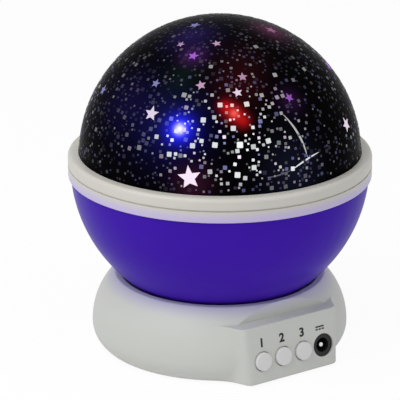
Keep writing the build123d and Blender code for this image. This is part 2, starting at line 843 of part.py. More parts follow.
# ------------------------------------------------------------------ light
def light_post():
    """Hollow post up the middle, with a foot in the well and a head for the board."""
    post = rod(post_r, well_floor, light_board_z) + rod(post_foot_r, well_floor, flange_top)
    head = rod(post_head_r, light_board_z - post_head_t, light_board_z)
    head = chamfer(head.faces().sort_by(Axis.Z)[0].edges(), post_head_chamfer)
    post += head
    for angle in post_screw_angles:
        x, y = polar(post_screw_ring, angle)
        post -= rod(post_screw_r, well_floor, flange_top, x, y)
        x, y = polar(head_screw_ring, angle)
        post -= rod(post_screw_r, light_board_z - post_head_t, light_board_z, x, y)
    return post - rod(post_bore, well_floor, light_board_z)


def post_screws():
    """Flat screws through the post's foot, under the thrust washer."""
    screw = rod(post_screw_r, flange_top - post_screw_length, flange_top - face_gap)
    return group(Pos(*polar(post_screw_ring, angle), 0) * screw for angle in post_screw_angles)


def light_board():
    """Round printed board that carries the lamps."""
    top = light_board_z + board_t
    board = rod(light_board_r, light_board_z, top)
    for angle in post_screw_angles:
        x, y = polar(head_screw_ring, angle)
        board -= rod(post_screw_r, light_board_z, top, x, y)
    return board


def head_screws():
    """Screws that hold the round board on the post's head."""
    screw = pan_screw(post_screw_r, post_screw_head_r, post_screw_head_t, board_t + post_head_t)
    top = light_board_z + board_t
    return group(
        Pos(*polar(head_screw_ring, angle), top) * Rot(180, 0, 0) * screw
        for angle in post_screw_angles
    )


def lamp(angle):
    """Domed lamp standing on the round board."""
    foot = light_board_z + board_t
    x, y = polar(lamp_ring, angle)
    shoulder = foot + lamp_height - lamp_r
    body = rod(lamp_flange_r, foot, foot + lamp_flange_t, x, y) + rod(lamp_r, foot, shoulder, x, y)
    return body + Pos(x, y, shoulder) * (Sphere(lamp_r) & Cylinder(lamp_r, lamp_r, align=LOW))


# ------------------------------------------------------------------ globe
def lower_bowl():
    """Bowl under the trim ring, with its hub and the bosses for the ring gear."""
    inner_r = globe_r - bowl_wall
    floor = bowl_flat + bowl_wall
    bore = post_r + running_gap
    flat = ball_point(globe_r, globe_z, bowl_flat)
    inner = ball_point(inner_r, globe_z, floor)
    rim = ball_point(globe_r, globe_z, ring_z)
    inner_rim = ball_point(inner_r, globe_z, ring_z)
    face = outline(
        Polyline(rim, inner_rim),
        ball_arc(inner_r, globe_z, floor, ring_z),
        Polyline(inner, (hub_r, floor), (hub_r, hub_top), (bore, hub_top), (bore, hub_bottom),
                 (hub_r, hub_bottom), (hub_r, bowl_flat), flat),
        ball_arc(globe_r, globe_z, bowl_flat, ring_z),
    )
    bowl = turned(rounded(face, [flat], bowl_edge))
    for angle in gear_screw_angles:
        x, y = polar(gear_screw_ring, angle)
        bowl += rod(gear_boss_r, floor, bowl_flat + gear_boss_height, x, y)
        bowl -= rod(gear_screw_r, bowl_flat, gear_z + gear_screw_length, x, y)
    return bowl


def trim_ring():
    """Pale band round the globe: it plugs into the bowl and seats the dome."""
    bowl_inside = ball_point(globe_r - bowl_wall, globe_z, ring_z - ring_skirt)[0]
    skirt_out = bowl_inside - slide_gap
    skirt_in = skirt_out - ring_skirt_wall
    wall_in = dome_r + face_gap
    groove_z = ring_z + ring_height / 2
    groove_r = ring_r - ring_groove
    low = groove_z - ring_groove_height / 2
    high = groove_z + ring_groove_height / 2
    skirt_z = ring_z - ring_skirt
    face = outline(
        Polyline(
            (skirt_in, skirt_z), (skirt_out, skirt_z), (skirt_out, ring_z), (ring_r, ring_z),
            (ring_r, low), (groove_r, low), (groove_r, high), (ring_r, high),
            (ring_r, ring_top), (wall_in, ring_top), (wall_in, dome_foot), (skirt_in, dome_foot),
            close=True,
        )
    )
    face = rounded(face, [(ring_r, ring_top)], ring_edge)
    return turned(rounded(face, [(ring_r, ring_z)], ring_edge / 3))


def star_dome():
    """Black dome that the lamps shine through; its foot is a short straight wall."""
    inner_r = dome_r - dome_wall
    apex = dome_z + dome_r
    face = outline(
        Polyline((0, apex - dome_wall), (0, apex)),
        ball_arc(dome_r, dome_z, dome_z, apex),
        Polyline((dome_r, dome_z), (dome_r, dome_foot), (inner_r, dome_foot), (inner_r, dome_z)),
        ball_arc(inner_r, dome_z, dome_z, apex - dome_wall),
    )
    return turned(face)


# ------------------------------------------------------------------ all the pieces
def pieces():
    """Every node of the projector by its name."""
    nodes = {
        "base_shell": base_shell(),
        "base_bottom": base_bottom(),
        "base_screws": base_screws(),
        "rubber_feet": feet(),
        "battery_door": battery_door(),
        "door_screw": door_screw(),
        "battery_cells": cells(),
        "battery_contacts": contacts(),
        "switch_board": switch_board(),
        "board_screws": board_screws(),
        "tact_switches": tact_switches(),
        "power_inlet": power_inlet(),
        "inlet_pin": inlet_pin(),
        "drive_motor": drive_motor(),
        "motor_bracket": motor_bracket(),
        "motor_pinion": motor_pinion(),
        "idler_gear": idler_gear(),
        "idler_axle": idler_axle(),
        "output_gear": output_gear(),
        "drive_pinion": drive_pinion(),
        "light_post": light_post(),
        "post_screws": post_screws(),
        "thrust_washer": thrust_washer(),
        "hub_clip": hub_clip(),
        "light_board": light_board(),
        "head_screws": head_screws(),
        "lower_bowl": lower_bowl(),
        "ring_gear": ring_gear(),
        "gear_screws": gear_screws(),
        "trim_ring": trim_ring(),
        "star_dome": star_dome(),
    }
    for number, u in enumerate(button_u, start=1):
        nodes[f"button_{number}"] = button(u)
        nodes[f"plunger_{number}"] = plunger(u)
    for name, angle in lamp_angles.items():
        nodes[name] = lamp(angle)
    return nodes


os.makedirs("parts", exist_ok=True)
for node, shape in pieces().items():
    export_step(shape, f"parts/{node}.step")
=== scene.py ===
"""Looks of the star night light projector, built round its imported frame, in metres."""

import json
import math
import random

import bpy
from mathutils import Matrix, Vector


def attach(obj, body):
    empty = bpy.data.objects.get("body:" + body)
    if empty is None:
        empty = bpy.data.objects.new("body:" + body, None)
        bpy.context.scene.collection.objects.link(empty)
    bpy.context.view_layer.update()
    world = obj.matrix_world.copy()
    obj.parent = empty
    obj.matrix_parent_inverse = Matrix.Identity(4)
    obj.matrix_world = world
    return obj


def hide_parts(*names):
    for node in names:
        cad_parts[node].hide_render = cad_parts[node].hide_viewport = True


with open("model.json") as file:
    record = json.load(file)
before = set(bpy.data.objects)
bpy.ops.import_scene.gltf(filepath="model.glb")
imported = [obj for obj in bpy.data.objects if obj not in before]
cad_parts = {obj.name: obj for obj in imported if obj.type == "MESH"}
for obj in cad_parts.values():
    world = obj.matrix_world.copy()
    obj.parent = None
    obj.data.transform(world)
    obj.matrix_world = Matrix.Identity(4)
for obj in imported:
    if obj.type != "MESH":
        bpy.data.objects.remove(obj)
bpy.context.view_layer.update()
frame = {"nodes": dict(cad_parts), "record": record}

MM = 0.001

# Places that the looks take from the model
dome_r = 58.1 * MM
dome_middle = Vector((0, 0, 80.6 * MM))
ring_top = 83.0 * MM
lamp_foot, lamp_length = 84.0 * MM, 9.0 * MM
cell_half = 21.9 * MM
face_middle = Vector((0, -51.2 * MM, 13.9 * MM))
face_lean = math.radians(8.5)
face_out = Vector((0, -math.cos(face_lean), math.sin(face_lean)))
face_up = Vector((0, math.sin(face_lean), math.cos(face_lean)))
button_places = (-14.8 * MM, -4.8 * MM, 5.2 * MM)
inlet_place = 15.5 * MM


def toward(azimuth, height):
    """Point of the dome's outside in a direction given in degrees."""
    turn, rise = math.radians(azimuth), math.radians(height)
    flat = math.cos(rise)
    way = Vector((flat * math.cos(turn), flat * math.sin(turn), math.sin(rise)))
    return dome_middle + way * dome_r


# ------------------------------------------------------------------ shader building
class Term:
    """A socket of one node tree; sums and products of terms become Math nodes."""

    def __init__(self, owner, socket):
        self.owner, self.socket = owner, socket

    def __add__(self, other):
        return self.owner.maths("ADD", self, other)

    __radd__ = __add__

    def __sub__(self, other):
        return self.owner.maths("SUBTRACT", self, other)

    def __rsub__(self, other):
        return self.owner.maths("SUBTRACT", other, self)

    def __mul__(self, other):
        return self.owner.maths("MULTIPLY", self, other)

    __rmul__ = __mul__

    def __truediv__(self, other):
        return self.owner.maths("DIVIDE", self, other)

    def __rtruediv__(self, other):
        return self.owner.maths("DIVIDE", other, self)

    def __gt__(self, other):
        return self.owner.maths("GREATER_THAN", self, other)


class Nodes:
    """A node tree under construction."""

    def __init__(self, tree):
        self.tree = tree

    def node(self, kind, settings=None, inputs=None, out=0):
        """Add a node: its settings first, then the values or links of its sockets."""
        made = self.tree.nodes.new("ShaderNode" + kind)
        for key, value in (settings or {}).items():
            if key == "stops":
                ramp = made.color_ramp.elements
                while len(ramp) < len(value):
                    ramp.new(0.5)
                for stop, (place, colour) in zip(ramp, value):
                    stop.position, stop.color = place, (*colour, 1)
            else:
                setattr(made, key, value)
        for key, value in (inputs or {}).items():
            self.feed(made.inputs[key], value)
        return Term(self, made.outputs[out])

    def maths(self, operation, *values):
        return self.node("Math", {"operation": operation}, dict(enumerate(values)))

    def feed(self, socket, value):
        """Link a term to a socket, or set the socket's own value."""
        if isinstance(value, Term):
            self.tree.links.new(value.socket, socket)
        else:
            socket.default_value = value


class Finish(Nodes):
    """One material under construction: its surface and the nodes that feed it."""

    def __init__(self, name, roughness=0.4, metallic=0.0, specular=0.5):
        self.material = bpy.data.materials.new(name)
        self.material.use_nodes = True
        super().__init__(self.material.node_tree)
        self.surface = self.tree.nodes["Principled BSDF"]
        self.set(Roughness=roughness, Metallic=metallic, Specular_IOR_Level=specular)

    def set(self, **inputs):
        """Feed the surface's own sockets; an underscore stands for a space."""
        for name, value in inputs.items():
            self.feed(self.surface.inputs[name.replace("_", " ")], value)

    def place(self):
        return self.node("TexCoord", out="Object")

    def along(self, axis):
        """Place along one axis."""
        return self.node("SeparateXYZ", None, {"Vector": self.place()}, out=axis)

    def noise(self, scale, detail=2.0, rough=0.5, where=None):
        """Noise of so many spots to the metre, from 0 to 1."""
        inputs = {"Vector": where or self.place(), "Scale": scale, "Detail": detail,
                  "Roughness": rough}
        return self.node("TexNoise", None, inputs)

    def blend(self, factor, first, second, way="MIX"):
        """Mix two colours, or add the light of the second to the first."""
        return self.node("Mix", {"data_type": "RGBA", "blend_type": way},
                         {0: factor, 6: opaque(first), 7: opaque(second)}, out=2)

    def uneven_gloss(self, mask, middle, spread):
        """Let the roughness vary round its middle value."""
        self.set(Roughness=mask * spread + (middle - spread / 2))

    def bump(self, height, strength, distance):
        """Bend the surface's normals by a height."""
        self.set(Normal=self.node("Bump", None, {
            "Height": height, "Strength": strength, "Distance": distance}))


def opaque(colour):
    """A colour with its alpha, or a term as it is."""
    return colour if isinstance(colour, Term) else (*colour, 1.0)


def darker(colour, share):
    """A share of a colour's light."""
    return tuple(share * part for part in colour)


# ------------------------------------------------------------------ finishes
def moulded(name, colour, shade, roughness, specular, painted_reflection=None):
    """Moulded plastic: faint flow marks, fine ripples and handled patches of gloss.

    A painted reflection is a coloured neighbour's colour, painted in between two heights.
    """
    finish = Finish(name, specular=specular)
    body = finish.blend(finish.noise(28, 3, 0.55), shade, colour)
    if painted_reflection:
        near, start, full, amount = painted_reflection
        # painted reflection: the neighbour's colour comes in between the two heights
        share = finish.node("MapRange", None, {
            "Value": finish.along("Z"), "From Min": start, "From Max": full,
            "To Min": 0.0, "To Max": amount})
        body = finish.blend(share, body, near)
    finish.set(Base_Color=body)
    finish.uneven_gloss(finish.noise(60, 2), roughness, 0.12)
    ripple = finish.noise(190, 2) * 0.6 + finish.noise(2200, 2) * 0.4
    finish.bump(ripple, 0.25, 0.012 * MM)
    return finish.material


def steel(name, colour, roughness, lines=900):
    """Drawn or plated metal with fine lines round it."""
    finish = Finish(name, metallic=1.0)
    stretched = finish.node("Mapping", None, {"Vector": finish.place(), "Scale": (1, 1, 0.05)})
    brushed = finish.noise(lines, 3, 0.6, stretched)
    finish.set(Base_Color=finish.blend(brushed, darker(colour, 0.82), colour))
    finish.uneven_gloss(brushed, roughness, 0.18)
    finish.bump(brushed, 0.2, 0.01 * MM)
    return finish.material


def foot_rubber():
    """Soft foot rubber with a dusty, uneven surface."""
    finish = Finish("foot rubber", specular=0.3)
    dust = finish.noise(240, 4, 0.65)
    finish.set(Base_Color=finish.blend(dust, (0.045, 0.045, 0.047), (0.085, 0.084, 0.082)))
    finish.uneven_gloss(dust, 0.78, 0.2)
    finish.bump(finish.noise(1500, 3), 0.4, 0.03 * MM)
    return finish.material


def board_mask():
    """Green solder mask with paler tracks."""
    finish = Finish("board mask")
    cells = finish.node("TexVoronoi", {"feature": "DISTANCE_TO_EDGE", "distance": "MANHATTAN"},
                        {"Vector": finish.place(), "Scale": 260.0})
    gap = cells > 0.12
    finish.set(Base_Color=finish.blend(gap, (0.030, 0.150, 0.060), (0.016, 0.085, 0.036)))
    finish.uneven_gloss(gap, 0.34, 0.12)
    finish.bump(gap, 0.3, 0.03 * MM)
    return finish.material


def cell_wrap():
    """Plain wrap of a cell: a dark sleeve, a copper band and bright ends."""
    finish = Finish("cell wrap", roughness=0.3, metallic=0.4)
    sleeve, copper, bright = (0.02, 0.07, 0.05), (0.60, 0.30, 0.14), (0.70, 0.70, 0.68)
    reach = finish.maths("ABSOLUTE", finish.along("X")) / cell_half
    finish.set(Base_Color=finish.node("ValToRGB", {"stops": [
        (0.0, sleeve), (0.60, sleeve), (0.62, copper), (0.90, copper), (0.95, bright)]},
        {"Fac": reach}))
    finish.bump(finish.noise(900, 2), 0.15, 0.01 * MM)
    return finish.material


def lamp_body(name, colour, light):
    """Tinted lamp that glows brightest in its tip."""
    finish = Finish(name, roughness=0.12)
    tip = (finish.along("Z") - lamp_foot) / lamp_length
    finish.set(Base_Color=finish.blend(finish.noise(600), darker(colour, 0.9), colour),
               Coat_Weight=0.6, Coat_Roughness=0.05,
               Emission_Color=finish.blend(tip, darker(light, 0.2), light),
               Emission_Strength=1.6)
    return finish.material


# painted glow of the lamps on the dome: centre (azimuth, height), spread in mm, light at its
# middle
painted_glows = (
    ((-142.8, 27.5), 1.8, (1.10, 1.05, 1.00)),
    ((-142.8, 27.5), 4.9, (0.018, 0.024, 1.30)),
    ((-142.8, 27.5), 9.5, (0.001, 0.001, 0.060)),
    ((-118.4, 34.4), 1.5, (0.40, 0.10, 0.08)),
    ((-122.2, 37.2), 2.6, (0.36, 0.004, 0.004)),
    ((-118.4, 34.4), 3.1, (0.50, 0.006, 0.006)),
    ((-114.6, 31.3), 2.6, (0.34, 0.005, 0.005)),
    ((-115.0, 46.0), 9.0, (0.018, 0.001, 0.002)),
    ((-108.0, 58.0), 10.0, (0.008, 0.001, 0.002)),
    ((-174.0, 34.0), 13.0, (0.003, 0.002, 0.026)),
    ((-150.0, 27.0), 13.0, (0.003, 0.003, 0.040)),
    ((-163.0, 71.0), 9.0, (0.012, 0.006, 0.055)),
    ((-146.3, 59.8), 5.0, (0.036, 0.006, 0.064)),
    ((-148.4, 49.1), 7.0, (0.001, 0.006, 0.002)),
    ((-45.4, 69.1), 7.0, (0.060, 0.016, 0.040)),
    ((-88.5, 37.0), 5.0, (0.014, 0.003, 0.022)),
    ((-136.0, 7.0), 7.0, (0.024, 0.004, 0.014)),
    ((-95.0, 10.0), 12.0, (0.004, 0.005, 0.014)),
    ((60.0, 30.0), 5.4, (0.02, 0.60, 0.08)),
    ((60.0, 30.0), 1.9, (0.60, 0.90, 0.60)),
    ((-20.0, 32.0), 5.0, (0.50, 0.38, 0.18)),
    ((-20.0, 32.0), 1.8, (0.60, 0.55, 0.45)),
)


def dome_black():
    """Black dome with the lamps' glow painted on it as light of its own."""
    finish = Finish("dome black", specular=0.004)
    smear = finish.noise(40, 3, 0.6)
    finish.set(Base_Color=finish.blend(smear, (0.0006, 0.0005, 0.0009), (0.0016, 0.0014, 0.0017)))
    finish.uneven_gloss(smear, 0.24, 0.08)
    light = None
    # painted glow: each spot of lamp light is emission of the dome itself
    for way, spread, colour in painted_glows:
        apart = finish.node("VectorMath", {"operation": "DISTANCE"},
                            {0: finish.place(), 1: toward(*way)}, out="Value")
        near = apart / (spread * MM)
        fade = finish.maths("EXPONENT", near * near * -1.0)
        spot = finish.blend(fade, (0, 0, 0), colour)
        light = spot if light is None else finish.blend(1.0, light, spot, "ADD")
    finish.set(Emission_Color=light, Emission_Strength=1.0)
    return finish.material


def window_light():
    """Clear window in the dome, with painted light in place of the light from inside: it glows
    with the light that its piece carries.
    """
    finish = Finish("window light", roughness=0.25, specular=0.01)
    light = finish.node("Attribute", {"attribute_name": "light"}, out="Color")
    finish.set(Base_Color=finish.blend(finish.noise(400), (0.003, 0.003, 0.004),
                                       (0.009, 0.009, 0.011)),
               Emission_Color=light, Emission_Strength=1.0)
    return finish.material


def print_ink():
    """Dark pad print, a little worn."""
    finish = Finish("print ink", specular=0.3)
    worn = finish.noise(1400, 3, 0.6)
    finish.set(Base_Color=finish.blend(worn, (0.006, 0.006, 0.006), (0.026, 0.026, 0.024)))
    finish.uneven_gloss(worn, 0.55, 0.2)
    return finish.material


# painted reflection of the purple bowl on its neighbours: colour, heights where it starts and is
# full, amount
rim_painted_reflection = ((0.46, 0.42, 0.66), 26 * MM, 30.6 * MM, 0.62)
lip_painted_reflection = ((0.52, 0.45, 0.70), ring_top - 5.5 * MM, ring_top - 8.5 * MM, 0.9)

# colour, its shade, roughness, specular level and perhaps a painted reflection
plastics = {
    "housing_white": ((0.580, 0.588, 0.545), (0.545, 0.553, 0.515), 0.42, 0.30, rim_painted_reflection),
    "bowl_purple": ((0.051, 0.0085, 0.400), (0.042, 0.0068, 0.345), 0.34, 0.045),
    "trim_cream": ((0.598, 0.578, 0.525), (0.562, 0.543, 0.495), 0.38, 0.35, lip_painted_reflection),
    "button_white": ((0.690, 0.685, 0.665), (0.650, 0.645, 0.630), 0.34, 0.40),
    "inlet_black": ((0.012, 0.012, 0.011), (0.006, 0.006, 0.006), 0.45, 0.35),
    "switch_black": ((0.030, 0.030, 0.030), (0.020, 0.020, 0.020), 0.5, 0.4),
    "gear_nylon": ((0.74, 0.73, 0.66), (0.68, 0.67, 0.60), 0.5, 0.4),
    "post_white": ((0.66, 0.66, 0.64), (0.60, 0.60, 0.585), 0.5, 0.4),
}
# colour, roughness and perhaps lines to the metre
metals = {
    "pin_metal": ((0.80, 0.79, 0.77), 0.22),
    "screw_steel": ((0.56, 0.56, 0.57), 0.30),
    "contact_plate": ((0.72, 0.71, 0.67), 0.25, 500),
    "motor_can": ((0.62, 0.62, 0.60), 0.28, 400),
}
# colour and light
lamps = {
    "lamp_blue": ((0.10, 0.18, 0.90), (0.30, 0.35, 2.40)),
    "lamp_red": ((0.85, 0.06, 0.05), (2.20, 0.16, 0.10)),
    "lamp_green": ((0.08, 0.70, 0.16), (0.15, 1.80, 0.30)),
    "lamp_warm": ((0.90, 0.82, 0.60), (1.80, 1.55, 1.05)),
}
finishes = {"dome_black": dome_black(), "foot_rubber": foot_rubber(),
            "board_green": board_mask(), "cell_wrap": cell_wrap()}
for make, table in ((moulded, plastics), (steel, metals), (lamp_body, lamps)):
    for slot, values in table.items():
        finishes[slot] = make(slot.replace("_", " "), *values)


# ------------------------------------------------------------------ pieces
def pick(*pieces):
    """Select these pieces only, the last of them active."""
    bpy.ops.object.select_all(action="DESELECT")
    for piece in pieces:
        piece.select_set(True)
        bpy.context.view_layer.objects.active = piece


def settle(piece, place):
    """Put a piece in its place and apply the place to its mesh."""
    piece.matrix_world = place
    pick(piece)
    bpy.ops.object.transform_apply(location=True, rotation=True, scale=True)


def copy_of(piece):
    """Copy of a piece, with its own mesh."""
    copy = piece.copy()
    copy.data = piece.data.copy()
    bpy.context.collection.objects.link(copy)
    return copy


def join(pieces):
    """Join pieces to one."""
    pick(*pieces)
    bpy.ops.object.join()
    return bpy.context.object


def dress(piece, name, finish, body):
    """Name a new piece, give it its finish and let it ride on its body."""
    piece.name = piece.data.name = name
    piece.data.materials.clear()
    piece.data.materials.append(finish)
    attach(piece, body)


def smooth_skin(node, slot, body, angle):
    """A node's own shape with its facets joined and shaded as one surface."""
    skin = copy_of(frame["nodes"][node])
    skin.parent = None
    skin.matrix_world = Matrix.Identity(4)
    pick(skin)
    bpy.ops.object.mode_set(mode="EDIT")
    bpy.ops.mesh.select_all(action="SELECT")
    bpy.ops.mesh.customdata_custom_splitnormals_clear()
    bpy.ops.mesh.remove_doubles(threshold=0.002 * MM)
    bpy.ops.object.mode_set(mode="OBJECT")
    bpy.ops.object.shade_smooth_by_angle(angle=math.radians(angle))
    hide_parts(node)
    dress(skin, node + "_skin", finishes[slot], body)


def open_edit(piece, chosen=lambda vertex: True):
    """Enter edit mode with only the chosen corners selected."""
    pick(piece)
    bpy.ops.object.mode_set(mode="EDIT")
    bpy.ops.mesh.select_mode(type="VERT")
    bpy.ops.mesh.select_all(action="DESELECT")
    bpy.ops.object.mode_set(mode="OBJECT")
    for vertex in piece.data.vertices:
        vertex.select = chosen(vertex)
    bpy.ops.object.mode_set(mode="EDIT")


window_top = 0.07 * MM     # a window stands this far out of the dome
window_bottom = -0.25 * MM
dot_clip = 0.09            # cut off a dot's corners, as a share of its side
star_waist = 0.45          # inner corners of a star, as a share of its radius


def thicken(window):
    """Turn a flat outline into a plate from the window's top to its bottom."""
    open_edit(window)
    bpy.ops.transform.translate(value=(0, 0, window_top))
    bpy.ops.mesh.extrude_region_move(
        TRANSFORM_OT_translate={"value": (0, 0, window_bottom - window_top)})
    bpy.ops.mesh.select_all(action="SELECT")
    bpy.ops.mesh.normals_make_consistent(inside=False)
    bpy.ops.object.mode_set(mode="OBJECT")
    return window


def dot_window():
    """Small square window with clipped corners, one unit across."""
    bpy.ops.mesh.primitive_plane_add(size=1.0)
    dot = bpy.context.object
    open_edit(dot)
    bpy.ops.mesh.bevel(offset=dot_clip, affect="VERTICES")
    bpy.ops.object.mode_set(mode="OBJECT")
    return thicken(dot)


def star_window():
    """Five-pointed window, one unit from its middle to its points."""
    bpy.ops.mesh.primitive_circle_add(vertices=10, radius=1.0, fill_type="NGON")
    star = bpy.context.object
    open_edit(star, lambda vertex: vertex.index % 2 == 1)
    bpy.ops.transform.resize(value=(star_waist, star_waist, 1))
    bpy.ops.object.mode_set(mode="OBJECT")
    open_edit(star)
    bpy.ops.mesh.poke()
    bpy.ops.object.mode_set(mode="OBJECT")
    return thicken(star)


def streak_window():
    """Thin window that tapers to both ends, two units long."""
    bpy.ops.mesh.primitive_grid_add(x_subdivisions=8, y_subdivisions=1, size=2.0)
    streak = bpy.context.object
    slim, blunt = 0.036, 1.2     # six times as wide in the middle as at the ends
    for vertex in streak.data.vertices:
        vertex.co.y *= slim * (blunt - vertex.co.x**2)
    return thicken(streak)


def set_in_dome(window, azimuth, height, spin, size, light, bend=0.0):
    """Copy of a window, laid into the dome and given its own painted light."""
    copy = copy_of(window)
    out = (toward(azimuth, height) - dome_middle).normalized()
    east = Vector((0, 0, 1)).cross(out).normalized()
    north = out.cross(east)
    turn = math.radians(spin)
    for vertex in copy.data.vertices:
        x, y = vertex.co.x * size, (vertex.co.y + bend * vertex.co.x**2) * size
        side = east * (x * math.cos(turn) - y * math.sin(turn))
        rise = north * (x * math.sin(turn) + y * math.cos(turn))
        way = (out * dome_r + side + rise).normalized()
        vertex.co = dome_middle + way * (dome_r + vertex.co.z)
    # painted light: the window's glow is carried by its corners
    carried = copy.data.attributes.new("light", "FLOAT_COLOR", "POINT")
    for item in carried.data:
        item.color = (*light, 1.0)
    return copy


def tinted(colour, strength, azimuth, height):
    """Painted light of a window: its own, and the painted glow of the lamps behind it."""
    here = toward(azimuth, height)
    light = Vector(colour) * strength
    for way, spread, glow in painted_glows:
        apart = (here - toward(*way)).length / (spread * MM)
        light += Vector(glow) * math.exp(-apart * apart)
    return tuple(light)


pale, lilac, violet, rose, slate, plum = (
    (0.92, 0.96, 0.94), (0.93, 0.80, 0.95), (0.36, 0.12, 0.60), (0.66, 0.40, 0.60),
    (0.26, 0.26, 0.55), (0.34, 0.12, 0.26))

# azimuth, height, radius in mm, colour, strength of the stars' painted light
stars = (
    (-137.0, 9.3, 4.8, lilac, 1.00), (-158.0, 32.0, 3.2, lilac, 0.80),
    (175.1, 78.3, 2.4, slate, 0.70), (-146.3, 59.8, 2.3, violet, 0.85),
    (-135.8, 46.1, 2.2, rose, 0.80), (-115.8, 43.0, 2.1, lilac, 0.80),
    (-111.5, 49.8, 2.1, rose, 0.62), (-128.7, 67.8, 1.9, rose, 0.75),
    (-45.4, 69.1, 2.7, plum, 0.60), (-88.5, 38.3, 2.1, violet, 0.70),
    (-164.5, 64.9, 1.7, rose, 0.62), (-162.5, 44.3, 2.0, slate, 0.80),
    (-57.0, 20.0, 3.2, lilac, 0.80), (-34.0, 41.0, 2.6, violet, 0.80),
    (-12.0, 14.0, 4.2, lilac, 0.95), (8.0, 50.0, 2.4, rose, 0.60),
    (25.0, 24.0, 3.0, lilac, 0.80), (48.0, 60.0, 2.3, violet, 0.60),
    (66.0, 12.0, 4.0, lilac, 0.95), (84.0, 38.0, 2.8, rose, 0.70),
    (104.0, 20.0, 2.5, violet, 0.70), (121.0, 48.0, 3.0, lilac, 0.70),
    (142.0, 12.0, 3.8, lilac, 0.90), (160.0, 33.0, 2.4, slate, 0.80),
)

# azimuth, height, side in mm and strength of the larger dots' painted light
large_dots = (
    (-116.7, 22.0, 2.4, 1.00), (-118.1, 10.5, 2.2, 0.85), (-127.1, 22.1, 2.1, 0.80),
    (-104.4, 22.7, 2.0, 0.75), (-136.4, 21.5, 2.0, 0.70), (-145.9, 17.4, 1.9, 0.70),
    (-132.6, 31.7, 2.0, 0.75), (-119.2, 28.5, 2.0, 0.75), (-152.7, 23.4, 1.7, 0.60),
    (-125.0, 37.9, 1.9, 0.70), (-111.9, 37.9, 2.0, 0.75), (-111.1, 21.0, 1.9, 0.60),
    (-128.9, 11.8, 1.8, 0.50), (-111.4, 13.0, 1.9, 0.75), (-143.8, 41.3, 1.9, 0.35),
    (-90.7, 48.8, 1.8, 0.35), (-91.2, 64.1, 1.8, 0.22), (-131.3, 54.9, 1.6, 0.30),
    (-66.6, 47.5, 1.7, 0.22), (-160.0, 18.0, 1.9, 0.20), (-95.0, 10.7, 1.7, 0.85),
)

# azimuth, height, turn, half length in mm, bend, strength of the thin streaks' painted light
streaks = (
    (-89.8, 23.4, -69.8, 9.9, -0.11, 0.50), (-88.4, 13.0, 17.5, 7.4, -0.06, 0.85),
    (-100.8, 9.1, 9.1, 5.4, 0.08, 0.12),
    (20.0, 40.0, -60.0, 9.0, 0.12, 0.45), (24.0, 14.0, 20.0, 7.0, 0.08, 0.75),
    (132.0, 30.0, 62.0, 9.0, -0.12, 0.45), (128.0, 56.0, -20.0, 6.0, 0.1, 0.30),
)

# Scattered dots: sides in mm, least room between two, sines of the lowest and highest places
dot_sides = (0.6, 0.7, 0.8, 0.9, 1.1, 1.3, 1.6)
dot_gap = 0.35 * MM
dot_lowest = math.sin(math.radians(3.6))
dot_highest = 0.999
star_room = 0.8     # share of a star's radius that stays free of them

# Degrees by which dots and stars are turned, and may turn either way by chance
dot_sway = 8
star_turn, star_sway = 18, 24

# Painted light of the scattered dots: directions in which it is brightest, and its reach in mm
bright_ways = (((-119.0, 22.0), 22.0), ((-141.0, 24.0), 10.0), ((0.0, 22.0), 22.0),
               ((120.0, 22.0), 22.0))
bright_light = 0.97
full_height = 12     # degrees, below which the bright light fades toward the ring
dim_light = 0.042    # everywhere, by these two numbers less toward the top
dim_start, dim_fall = 1.1, 105
# shares of the bright and the dim light that a dot gets, by chance
light_shares = ((0.10, 0.4), (0.3, 0.7), (0.7, 1.0), (1.0, 2.0), (1.0, 4.0))
bright_enough = 0.3  # share of the bright light from which a dot has these colours
bright_colours = (pale, pale, pale, lilac, slate)
dim_colours = (pale, slate, slate, lilac, slate)


def scatter_dots(window, count):
    """Dots all over the dome, no two too near, their painted light brightest toward the lamps."""
    draw = random.Random(41)
    taken = [(toward(azimuth, height), radius * MM * star_room)
             for azimuth, height, radius, *_ in stars]
    dots = []
    for azimuth, height, side, strength in large_dots:
        taken.append((toward(azimuth, height), side / 2 * MM))
        spin = draw.uniform(-dot_sway, dot_sway)
        dots.append(set_in_dome(window, azimuth, height, spin, side * MM,
                                tinted(pale, strength, azimuth, height)))
    while len(dots) < count:
        azimuth = draw.uniform(-180, 180)
        height = math.degrees(math.asin(draw.uniform(dot_lowest, dot_highest)))
        side = draw.choice(dot_sides) * MM
        here = toward(azimuth, height)
        if any((here - there).length < side / 2 + other + dot_gap for there, other in taken):
            continue
        taken.append((here, side / 2))
        near = max(math.exp(-((here - toward(*way)).length / (reach * MM)) ** 2)
                   for way, reach in bright_ways)
        near *= min(1.0, height / full_height)
        lit, dim = draw.choice(light_shares)
        # painted light of a dot: bright toward the lamps, dim everywhere else
        strength = (bright_light * near * lit
                    + dim_light * dim * (dim_start - height / dim_fall))
        colour = draw.choice(bright_colours if near > bright_enough else dim_colours)
        spin = draw.uniform(-dot_sway, dot_sway)
        dots.append(set_in_dome(window, azimuth, height, spin, side,
                                tinted(colour, strength, azimuth, height)))
    return dots


def light_windows():
    """All the dome's windows: dots, stars and streaks."""
    dot, star, streak = dot_window(), star_window(), streak_window()
    dots = scatter_dots(dot, 2500)
    draw = random.Random(7)
    points = [
        set_in_dome(star, azimuth, height, star_turn + draw.uniform(-star_sway, star_sway),
                    radius * MM, tinted(colour, strength, azimuth, height))
        for azimuth, height, radius, colour, strength in stars
    ]
    lines = [
        set_in_dome(streak, azimuth, height, turn, half * MM,
                    tinted(pale, strength, azimuth, height), bend)
        for azimuth, height, turn, half, bend, strength in streaks
    ]
    finish = window_light()
    for copies, name in ((dots, "dot_windows"), (points, "star_windows"),
                         (lines, "streak_windows")):
        dress(join(copies), name, finish, "dome")
    for pattern in (dot, star, streak):
        bpy.data.objects.remove(pattern)


# Marks on the control panel
mark_row = 3.8 * MM          # above the panel's middle
print_lift = 0.02 * MM       # middle of the print above the panel
print_thick = 0.06 * MM
numeral_height = 3.5 * MM
numeral_share = 0.7          # of its type size
numeral_bold = 0.19 * MM     # by which its outline is widened
sign_place = inlet_place - 1.2 * MM
sign_line = 0.6 * MM


